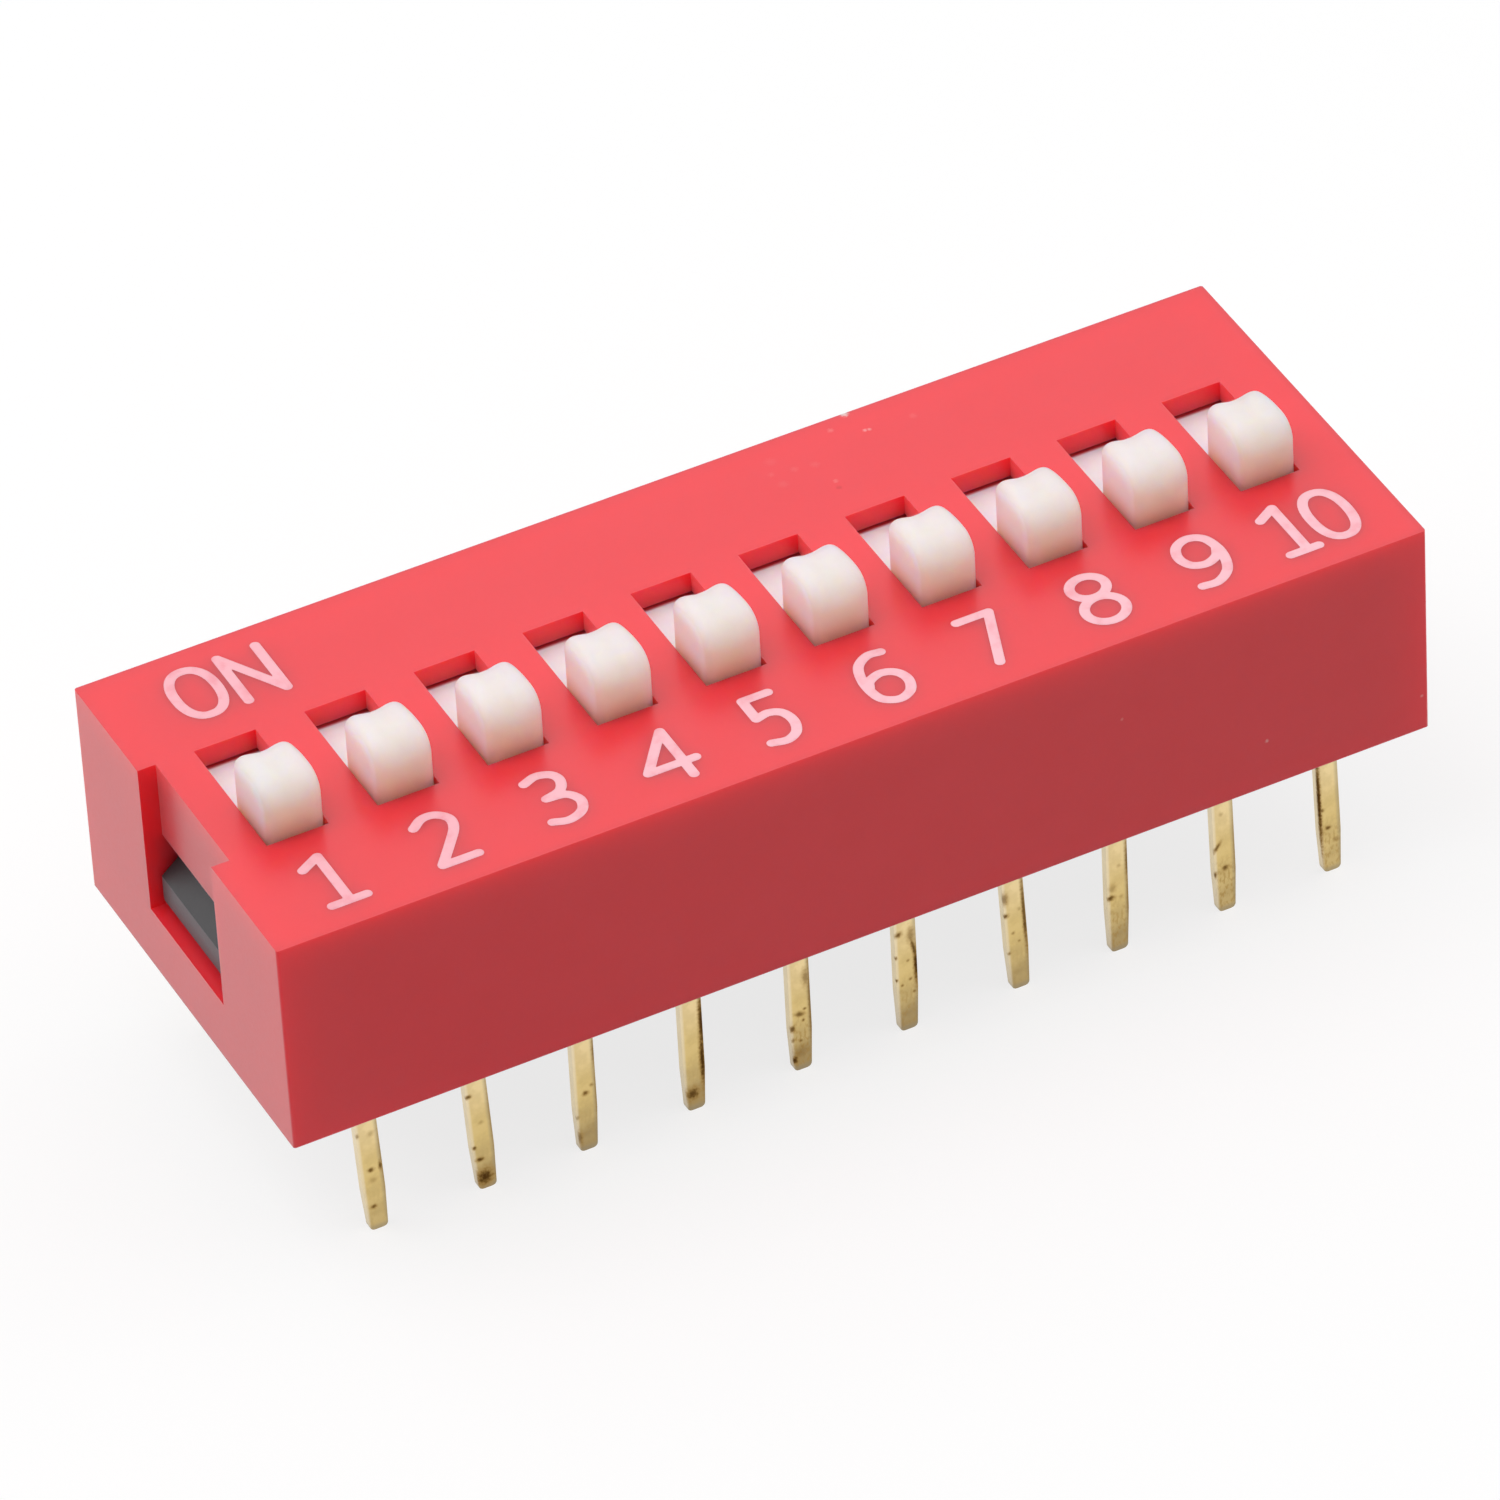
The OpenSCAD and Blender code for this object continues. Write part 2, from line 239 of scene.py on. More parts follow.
@dataclass(frozen=True)
class MouldedPlastic:
    """Injection-moulded thermoplastic with a spark-eroded, satin mould finish.

    A faint mottle breaks up the colour, a fine grain scatters the gloss, and a little light passes through
    thin walls and edges, which makes them glow in their own colour. Optional layers paint light and shade
    in:
    painted light on upright faces, a painted warm glow at the foot, and painted shade in dark red where a
    plate runs under the cover.
    """

    name: str  # Name of the material.
    colour: str  # Its colour.
    deep: str  # Its colour where the mottle is deepest.
    mottle_mm: float  # Size of the mottle.
    grain_mm: float  # Size of the grain.
    grain_depth_mm: float  # Depth of the grain.
    roughness: float  # Mean roughness of the skin.
    scatter: float  # Share of the light that passes into the plastic.
    scatter_mm: Triple  # How far red, green and blue light travel in it.
    haze: float = 0.0  # Pale sheen of the satin skin at a low angle.
    ior: float = 1.5  # Refractive index.
    # Painted shade: colour of the ends of a plate where they slide under the cover, and the distances from
    # the datum along Y over which it comes in.
    under_cover_shade: tuple[str, float, float] | None = None
    # Painted light: a lighter colour laid on the faces that stand square across X.
    upright_light: str | None = None  # Colour of the faces that stand square across X.
    # Painted light: colour of a warm glow painted on the foot, and the two heights over the datum between
    # which it fades out.
    foot: tuple[str, float, float] | None = None
    pillow_mm: float = 0.0  # How far edges shade as if rounded.
    chip_mm: float = 0.05  # Size of the noise that breaks up the rims of the scuffs.
    scuffs: tuple[Scuff, ...] = ()  # Small marks of handling.

    def material(self, datum_mm: Sequence[float] = (0.0, 0.0, 0.0)) -> Material:
        """Builds the material.

        Args:
            datum_mm: Point that the painted shade, the painted foot glow and the scuffs are measured from.

        Returns:
            The material.
        """
        made, tree, where = new_material(self.name)
        datum = tuple(float(value) * MM for value in datum_mm)
        here = add(tree, "VectorMath", (where, datum), operation="SUBTRACT")
        place = add(tree, "SeparateXYZ", (here,)).outputs
        cloud, grain, chips = (
            add(tree, "TexNoise", {
                "Vector": where, "Scale": per_metre(size), "Detail": detail, "Roughness": FRACTAL})
            for size, detail in ((self.mottle_mm, 4.0), (self.grain_mm, 2.0), (self.chip_mm, 2.0)))
        layers = [(add(tree, "MapRange", (cloud, 0.3, 0.7, 0.0, 1.0), **SMOOTH), self.deep)]
        # Painted shade: dark red where the plate runs under the cover.
        if self.under_cover_shade:
            tint, start, end = self.under_cover_shade
            away = add(tree, "Math", (place["Y"],), operation="ABSOLUTE")
            layers.append((add(tree, "MapRange", (away, start * MM, end * MM, 0.0, 1.0), **SMOOTH), tint))
        # Painted light: faces square across X take the lighter upright colour.
        if self.upright_light:
            facing = add(tree, "SeparateXYZ", (add(tree, "TexCoord").outputs["Normal"],)).outputs
            across = add(tree, "Math", (facing["X"],), operation="ABSOLUTE")
            layers.append((add(tree, "MapRange", (across, 0.75, 0.95, 0.0, 1.0), **SMOOTH), self.upright_light))
        # Painted light: a warm glow painted on the foot, fading out upwards.
        if self.foot:
            foot_glow, low, high = self.foot
            fade = add(tree, "MapRange", (place["Z"], low * MM, high * MM, 1.0, 0.0), **SMOOTH)
            layers.append((fade, foot_glow))
        layers += [(scuff.share(tree, here, chips), scuff.colour) for scuff in self.scuffs]
        least, most = self.roughness - GLOSS_SPREAD, self.roughness + GLOSS_SPREAD
        bump = skin(tree, grain, self.grain_depth_mm, {
            "Base Color": layered(tree, self.colour, layers),
            "Roughness": add(tree, "MapRange", (grain, 0.25, 0.75, least, most), **SMOOTH),
            "IOR": self.ior,
            "Subsurface Weight": self.scatter,
            "Subsurface Radius": self.scatter_mm,
            "Subsurface Scale": MM,
            "Sheen Weight": self.haze,
            "Sheen Roughness": 0.35,
        })
        if self.pillow_mm:
            soft = add(tree, "Bevel", {"Radius": self.pillow_mm * MM}, samples=8)
            tree.links.new(soft.outputs[0], bump.inputs["Normal"])
        return made


@dataclass(frozen=True)
class Stain:
    """One brown tarnish spot on a pin."""

    x: float  # Distance from the middle of its switch, along the row.
    z: float  # Height above the seating face, so below the board it is negative.
    width: float = 0.08  # Width of the spot.
    height: float = 0.08  # Height of the spot.
    depth: float = 0.8  # How dark it is, from 0 to 1.
    turn: float = 0.0  # Slant of the spot in degrees.


def stains(*rows: tuple[float, ...]) -> tuple[Stain, ...]:
    """One spot for each row of a Stain's values, in their order."""
    return tuple(Stain(*row) for row in rows)


@dataclass(frozen=True)
class PlatedStrip:
    """Stamped brass strip with a thin gold flash, dulled by handling.

    The flash is paler near the housing and worn brown towards the tip. Rolling left faint lines along
    the strip, a fine slanted mottle lies over the worn end, and spots show where tarnish has come through.
    The left edge carries a painted highlight, the right edge and the end painted shade.
    """

    name: str  # Name of the material.
    root: str = "#EED6A0"  # Colour at the housing.
    colour: str = "#DDC280"  # Colour of the middle.
    worn: str = "#988058"  # Colour of the tip.
    halo: str = "#A98545"  # Colour round a spot.
    tarnish: str = "#523409"  # Colour in the middle of a spot.
    edge_shade: str = "#9C9078"  # Painted shade on the right edge and at the end.
    edge_glint: str = "#F2E8D0"  # Painted highlight on the left edge.
    wear: float = 0.8  # Share of the worn colour at the tip.
    mottle: float = 0.2  # Strength of the slanted mottle.
    slant: float = 30.0  # Slant of the mottle in degrees.
    fleck_mm: float = 0.07  # Size of the mottle's flecks, and of the noise that frays the spots.
    lean: float = 0.0  # Slant of the pin in degrees, tip towards switch 10 where positive.
    patch_mm: float = 0.5  # Size of the unevenness of the flash.
    line_mm: float = 0.03  # Spacing of the rolling lines.
    line_depth_mm: float = 0.002  # Depth of the rolling lines.
    roughness: float = 0.34  # Roughness of the clean flash.
    spot_mm: float = 0.045  # How far a spot reaches round the edge of its face.
    flash_mm: Pair = (-0.9, -2.4)  # Heights between which the root colour gives way to the middle one.
    worn_mm: Pair = (-2.3, -3.9)  # Heights between which the worn colour comes in.
    mottle_mm: Pair = (-2.2, -3.1)  # Heights between which the mottle comes in.
    tip_mm: Pair = (-3.72, -3.88)  # Heights between which the painted shadow at the end comes in.
    # Places across the pin between which the painted highlight on the left edge comes in.
    edge_glint_mm: Pair = (-0.16, -0.23)
    edge_shade_mm: Pair = (0.13, 0.23)  # Span across the pin of the painted shade on the right edge.
    stains: tuple[Stain, ...] = ()  # Tarnish spots.

    def straight(self, tree: Tree, where: Source, middle_mm: float) -> tuple[Source, Source, Source]:
        """Coordinates of the unslanted pin, with X from its own middle.

        Args:
            tree: The node tree.
            where: Object coordinates.
            middle_mm: Place of the switch along the row.

        Returns:
            X and Z alone, and all three coordinates together.
        """
        parts = add(tree, "SeparateXYZ", (where,)).outputs
        slope = math.tan(math.radians(self.lean))
        sheared = add(tree, "Math", (parts["Z"], slope, parts["X"]), operation="MULTIPLY_ADD")
        along = add(tree, "Math", (sheared, -middle_mm * MM), operation="ADD")
        return along, parts["Z"], add(tree, "CombineXYZ", (along, parts["Y"], parts["Z"]))

    def spots(self, tree: Tree, where: Source, face_mm: float) -> tuple[Source, Source]:
        """Masks of the halos and of the dark cores of the tarnish spots.

        Each spot is a flat ellipsoid on the pin's outer face whose edge is broken up by noise.

        Args:
            tree: The node tree.
            where: Coordinates of the unslanted pin.
            face_mm: Place of the pin's outer face along Y.

        Returns:
            Both masks.
        """
        halo: Any = 0.0
        core: Any = 0.0
        fray = add(tree, "TexNoise", {
            "Vector": where, "Scale": per_metre(self.fleck_mm), "Detail": 3.0, "Roughness": FRACTAL})
        for tint in self.stains:
            local = add(tree, "Mapping", {
                "Vector": where,
                "Location": (tint.x * MM, face_mm * MM, tint.z * MM),
                "Rotation": (0.0, math.radians(tint.turn), 0.0),
                "Scale": (tint.width / 2 * MM, self.spot_mm * MM, tint.height / 2 * MM),
            }, vector_type="TEXTURE")
            far = add(tree, "VectorMath", (local,), operation="LENGTH").outputs["Value"]
            edge = add(tree, "Math", (fray, 1.3, far), operation="MULTIPLY_ADD")
            pale = add(tree, "MapRange", (edge, 1.1, 2.9, tint.depth, 0.0), **SMOOTH)
            dark = add(tree, "MapRange", (edge, 0.8, 2.1, tint.depth ** 1.5, 0.0), **SMOOTH)
            halo = add(tree, "Math", (halo, pale), operation="MAXIMUM")
            core = add(tree, "Math", (core, dark), operation="MAXIMUM")
        return halo, core

    def material(self, middle_mm: float = 0.0, face_mm: float = 0.0) -> Material:
        """Builds the material.

        Args:
            middle_mm: Place of the switch along the row, for the spots.
            face_mm: Place of the pin's outer face along Y, for the spots.

        Returns:
            The material.
        """
        made, tree, where = new_material(self.name)
        along, height, local = self.straight(tree, where, middle_mm)
        slanted = add(tree, "Mapping", {
            "Vector": local, "Rotation": (0.0, math.radians(self.slant), 0.0), "Scale": (1.0, 1.0, 0.45)})
        drawn = add(tree, "Mapping", {"Vector": local, "Scale": (1.0, 1.0, 0.06)})
        cloud, flecks, lines = (
            add(tree, "TexNoise", {
                "Vector": place, "Scale": per_metre(size), "Detail": detail, "Roughness": FRACTAL})
            for place, size, detail in (
                (local, self.patch_mm, 3.0), (slanted, self.fleck_mm, 3.0), (drawn, self.line_mm, 2.0)))
        patch = add(tree, "MapRange", (cloud, 0.35, 0.65, -0.12, 0.12), **SMOOTH)
        mottle = add(tree, "MapRange", (flecks, 0.46, 0.64, 0.0, self.mottle), **SMOOTH)
        flash, worn, rubbed, tip, edge_glint, edge_shade = (
            add(tree, "MapRange", (place, start * MM, end * MM, low, high), **SMOOTH)
            for place, (start, end), low, high in (
                (height, self.flash_mm, 0.0, 1.0), (height, self.worn_mm, 0.0, self.wear),
                (height, self.mottle_mm, 0.1, 1.0), (height, self.tip_mm, 0.0, 0.6),
                (along, self.edge_glint_mm, 0.0, 0.5), (along, self.edge_shade_mm, 0.0, 0.5)))
        layers = [
            (add(tree, "Math", (flash, patch), operation="ADD", use_clamp=True), self.colour),
            (add(tree, "Math", (worn, patch), operation="ADD", use_clamp=True), self.worn),
            (add(tree, "Math", (mottle, rubbed), operation="MULTIPLY"), self.halo),
        ]
        rough: Any = self.roughness
        if self.stains:
            halo, core = self.spots(tree, local, face_mm)
            # Painted highlight on the left edge, painted shade on the right edge and the end, then the
            # tarnish spots.
            layers += [
                (edge_glint, self.edge_glint), (edge_shade, self.edge_shade), (tip, self.edge_shade), (halo, self.halo),
                (core, self.tarnish),
            ]
            rough = add(tree, "MapRange", (core, 0.0, 1.0, self.roughness, 0.6), **SMOOTH)
        colour = layered(tree, self.root, layers)
        skin(tree, lines, self.line_depth_mm, {"Base Color": colour, "Metallic": 1.0, "Roughness": rough})
        return made


@dataclass(frozen=True)
class PadInk:
    """White pad-printing ink laid thinly on red plastic, which shows through and turns it pink.

    The film is thinnest at switch 1.
    """

    name: str = "pad_ink_white_on_red"  # Name of the material.
    full: str = "#FBC0CA"  # Colour of the full film.
    thin: str = "#F29EAA"  # Colour where the red shows through.
    patch_mm: float = 0.35  # Size of the unevenness of the film.
    grain_mm: float = 0.06  # Size of the film's grain.
    grain_depth_mm: float = 0.003  # Depth of the grain.
    # Distances from the end of the cover over which the film grows to its full thickness.
    fade_mm: Pair = (1.43, 12.43)
    roughness: Pair = (0.45, 0.55)  # Roughness in the hollows of the grain and on its heights.

    def material(self, end_mm: float) -> Material:
        """Builds the material.

        Args:
            end_mm: Place of the cover's end at switch 1, along X.

        Returns:
            The material.
        """
        made, tree, where = new_material(self.name)
        first, last = ((end_mm + fade) * MM for fade in self.fade_mm)
        cloud, grain = (
            add(tree, "TexNoise", {
                "Vector": where, "Scale": per_metre(size), "Detail": detail, "Roughness": FRACTAL})
            for size, detail in ((self.patch_mm, 4.0), (self.grain_mm, 2.0)))
        patch = add(tree, "MapRange", (cloud, 0.45, 0.75, 0.0, 0.7), **SMOOTH)
        row = add(tree, "SeparateXYZ", (where,)).outputs["X"]
        faded = add(tree, "MapRange", (row, first, last, 0.4, 0.0), **SMOOTH)
        share = add(tree, "Math", (patch, faded), operation="ADD", use_clamp=True)
        skin(tree, grain, self.grain_depth_mm, {
            "Base Color": layered(tree, self.full, [(share, self.thin)]),
            "Roughness": add(tree, "MapRange", (grain, 0.3, 0.7, *self.roughness), **SMOOTH),
        })
        return made


# PBT, spark-eroded mould: even satin red whose thin edges glow. Its datum is the top edge of the front, in
# the middle of the row.
COVER_RED = MouldedPlastic(
    "pbt_moulded_red", "#F82D3D", "#F52B3A", mottle_mm=2.5, grain_mm=0.12, grain_depth_mm=0.001,
    roughness=0.3, scatter=1.0, scatter_mm=(0.75, 0.2, 0.16), haze=0.38, ior=1.46,
    scuffs=(
        Scuff((4.71, 9.715, -0.02), 0.12, "#FFDCDC", 0.75),
        Scuff((4.2, 9.375, 0.0), 0.09, strength=0.3),
        Scuff((4.84, 9.005, 0.0), 0.07, "#FFC4C4", 0.5),
        Scuff((4.93, 8.985, 0.0), 0.06, "#FFC4C4", 0.45),
        Scuff((5.95, 8.925, 0.0), 0.12, strength=0.1),
        Scuff((2.6, 9.075, 0.0), 0.18, strength=0.06),
        Scuff((2.93, 8.595, 0.0), 0.12, strength=0.09),
        Scuff((3.38, 8.515, 0.0), 0.14, strength=0.08),
        Scuff((2.42, 8.675, 0.0), 0.1, strength=0.09),
        Scuff((2.49, 8.265, 0.0), 0.16, strength=0.07),
        Scuff((3.5, 7.795, 0.0), 0.08, strength=0.25),
        Scuff((3.46, 7.565, 0.0), 0.09, "#DC0A1E", 0.6),
        Scuff((6.09, 0.0, -2.07), 0.05, "#FF8A8C", 0.5),
        Scuff((9.52, 0.0, -4.11), 0.06, "#FFB0B0", 0.6),
        Scuff((13.27, 0.0, -4.45), 0.05, "#FFB0B0", 0.5),
    ),
)
# Glass-filled nylon: dark grey and matt on its as-moulded skin. Its upright faces are painted lighter,
# painted light that leaves the latch's lead-in slope darker as painted shade.
BASE_GREY = MouldedPlastic(
    "glass_filled_nylon_dark_grey", "#2D2C2F", "#252427", mottle_mm=0.9, grain_mm=0.09, grain_depth_mm=0.003,
    roughness=0.45, scatter=0.0, scatter_mm=(0.1, 0.1, 0.1), upright_light="#5A585C",
)
# POM (acetal): cream white and slightly translucent, so its shaded sides stay warm. On top of that its
# flanks are painted lighter and its foot a warm pink, both painted light.
SLIDE_CREAM = MouldedPlastic(
    "acetal_moulded_cream", "#F4EDE1", "#F1E9DC", mottle_mm=0.8, grain_mm=0.15, grain_depth_mm=0.003,
    roughness=0.42, scatter=1.0, scatter_mm=(3.5, 2.5, 1.2), upright_light="#FAF5F3",
    foot=("#FFC8B8", -0.1, 0.6), pillow_mm=0.4,
)
# The same acetal, unhandled and paler down on the shutter plates, with painted shade in dark red where the
# plates run under the cover.
SHUTTER_WHITE = MouldedPlastic(
    "acetal_moulded_white", "#F8F4FA", "#F4F0F5", mottle_mm=0.8, grain_mm=0.15, grain_depth_mm=0.003,
    roughness=0.42, scatter=1.0, scatter_mm=(0.6, 0.35, 0.2), under_cover_shade=("#D2424C", 2.56, 2.66),
)
# Bronze spring strip, lightly plated: cleaner and smoother than the pins.
CONTACT_STRIP = PlatedStrip("bronze_spring_strip_plated", root="#D9BC78", colour="#C9AA62", roughness=0.28)


# ---- Meshes ----


def cells(grid: Array) -> Array:
    """The four corners of each cell of a grid, counter-clockwise, along a last axis."""
    return np.stack([grid[:-1, :-1], grid[1:, :-1], grid[1:, 1:], grid[:-1, 1:]], axis=-1)


def cube_surface(steps: Array) -> Solid:
    """Surface of the cube from -1 to 1 as six grids, joined along their edges.

    Args:
        steps: The grid's places along an edge, from -1 to 1.

    Returns:
        Vertices, and quads that face outwards.
    """
    count = len(steps)
    u, v = np.meshgrid(steps, steps, indexing="ij")
    index = np.arange(count * count).reshape(count, count)
    quads = cells(index).reshape(-1, 4)
    points, faces = [], []
    for axis in range(3):
        for side in (-1.0, 1.0):
            grid = np.empty((count, count, 3))
            grid[..., axis] = side
            grid[..., (axis + 1) % 3] = u
            grid[..., (axis + 2) % 3] = v
            faces.append((quads if side > 0 else quads[:, ::-1]) + count * count * len(points))
            points.append(grid.reshape(-1, 3))
    every = np.concatenate(points)
    _, first, back = np.unique(np.round(every, 9), axis=0, return_index=True, return_inverse=True)
    return every[first], back.reshape(-1)[np.concatenate(faces)]


def edge_steps(flat: int, round_steps: int, reach: float) -> Array:
    """Places from -1 to 1 that lie close together near both ends.

    Args:
        flat: Steps over the middle.
        round_steps: Steps over each rounded end.
        reach: Share of the half length that the rounded end takes.

    Returns:
        The places.
    """
    bend = np.sin(np.linspace(0, np.pi / 2, round_steps + 1))
    end = 1 - reach + reach * bend
    middle = np.linspace(-(1 - reach), 1 - reach, flat + 1)
    return np.concatenate([-end[:0:-1], middle, end[1:]])


def smooth_step(low: float, high: float, value: Array) -> Array:
    """Cubic step from 0 at low to 1 at high."""
    t = np.clip((value - low) / (high - low), 0, 1)
    return t * t * (3 - 2 * t)


def round_block(cube: Array, half: Array, radius: float) -> Array:
    """Block with rounded edges.

    Each point of the cube's surface is scaled to the block. The part of it that lies beyond the inner block,
    which is smaller by the radius on every side, is then drawn onto a ball of that radius.

    Args:
        cube: Points on the surface of the cube from -1 to 1.
        half: Half sizes of the block.
        radius: Edge radius.

    Returns:
        The points.
    """
    point = cube * half
    inner = np.clip(point, radius - half, half - radius)
    beyond = (point - inner) / radius
    return inner + beyond / np.maximum(np.linalg.norm(beyond, axis=1, keepdims=True), 1e-9) * radius


def capped(rings: Array, ends: Array) -> Solid:
    """Closed skin over a row of rings, with a fan of triangles at either end.

    Args:
        rings: Points of each ring, all with the same number, counter-clockwise as seen from the last ring.
        ends: The middle of the first cap and of the last.

    Returns:
        Vertices, and faces that point outwards. A triangle repeats its last vertex.
    """
    count, around = rings.shape[:2]
    index = np.arange(count * around).reshape(count, around)
    after = np.roll(index, -1, axis=1)
    walls = np.stack([index[:-1], after[:-1], after[1:], index[1:]], axis=-1).reshape(-1, 4)
    first, last = np.full((2, around), count * around) + [[0], [1]]
    return np.vstack([rings.reshape(-1, 3), ends]), np.vstack([
        walls,
        np.stack([after[0], index[0], first, first], axis=1),
        np.stack([index[-1], after[-1], last, last], axis=1),
    ])


def turned(profile: Sequence[Pair], middle: Sequence[float], around: int = 32) -> Solid:
    """Solid of revolution about an upright axis.

    The profile runs from the lower end of the axis to the upper end. Every other point of it makes a ring.

    Args:
        profile: Radius and height of each point, the first and the last on the axis.
        middle: X and Y of the axis.
        around: Steps round the axis.

    Returns:
        Vertices, and faces that point outwards.
    """
    radius, height = np.array(profile[1:-1]).T[..., None]
    angle = np.linspace(0, 2 * np.pi, around, endpoint=False)
    rings = np.stack([
        middle[0] + radius * np.cos(angle), middle[1] + radius * np.sin(angle),
        np.broadcast_to(height, (len(radius), around)),
    ], axis=-1)
    return capped(rings, np.array([[*middle, profile[0][1]], [*middle, profile[-1][1]]]))


def merge(solids: Sequence[Solid]) -> Solid:
    """Puts several closed shells into one mesh.

    Args:
        solids: Vertices and faces of each.

    Returns:
        All vertices, and all faces.
    """
    starts = np.cumsum([0] + [len(points) for points, _ in solids])
    return (
        np.vstack([points for points, _ in solids]),
        np.vstack([faces + start for (_, faces), start in zip(solids, starts)]),
    )


def make_piece(
    name: str, points_mm: Array, faces: Array, material: Material, body: str,
    replaces: str | None = None,
) -> None:
    """Puts a mesh into the scene as a piece of the part.

    Args:
        name: Name of the piece.
        points_mm: Vertices in millimetres.
        faces: Faces as rows of vertex numbers, where a triangle repeats one.
        material: Its material.
        body: The body that it rides on.
        replaces: The node that it stands for, if any.
    """
    mesh = bpy.data.meshes.new(name)
    rows = [list(dict.fromkeys(face)) for face in faces.tolist()]
    mesh.from_pydata((points_mm * MM).tolist(), [], rows)
    mesh.polygons.foreach_set("use_smooth", np.ones(len(mesh.polygons), dtype=bool))
    mesh.materials.append(material)
    mesh.update()
    piece = bpy.data.objects.new(name, mesh)
    bpy.context.scene.collection.objects.link(piece)
    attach(piece, body)
    if replaces:
        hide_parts(replaces)
    log.info("%s: %d faces on %s", name, len(mesh.polygons), body)


def dress_node(name: str, material: Material, edge_mm: float, segments: int = 2) -> None:
    """Gives a node of the frame its material and softened edges.

    Args:
        name: Name of the node.
        material: Its material.
        edge_mm: Width of the softened edge.
        segments: Steps round the edge.
    """
    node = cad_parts[name]
    node.data.materials.clear()
    node.data.materials.append(material)
    weld = node.modifiers.new("join", "WELD")
    weld.merge_threshold = 1e-7
    bevel = node.modifiers.new("soft_edges", "BEVEL")
    bevel.width = edge_mm * MM
    bevel.segments = segments
    bevel.limit_method = "ANGLE"
    bevel.angle_limit = math.radians(35)
    bevel.use_clamp_overlap = True
    bevel.harden_normals = False
    log.info("%s: dressed in %s", name, material.name)


def box_mm(name: str) -> tuple[Array, Array]:
    """Lowest and highest corner of a node at rest, in millimetres."""
    low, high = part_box(name)
    return np.array(low) / MM, np.array(high) / MM


# ---- Sub-assemblies ----


@dataclass
class Housing:
    """Red cover and dark base."""

    cover_edge: float = 0.1  # Softened edge of the cover.
    base_edge: float = 0.08  # Softened edge of the base.

    def build(self) -> None:
        """Dresses the two mouldings."""
        low, high = box_mm("cover")
        datum = ((low[0] + high[0]) / 2, low[1], high[2])
        dress_node("cover", COVER_RED.material(datum), self.cover_edge, 3)
        dress_node("base", BASE_GREY.material(), self.base_edge)


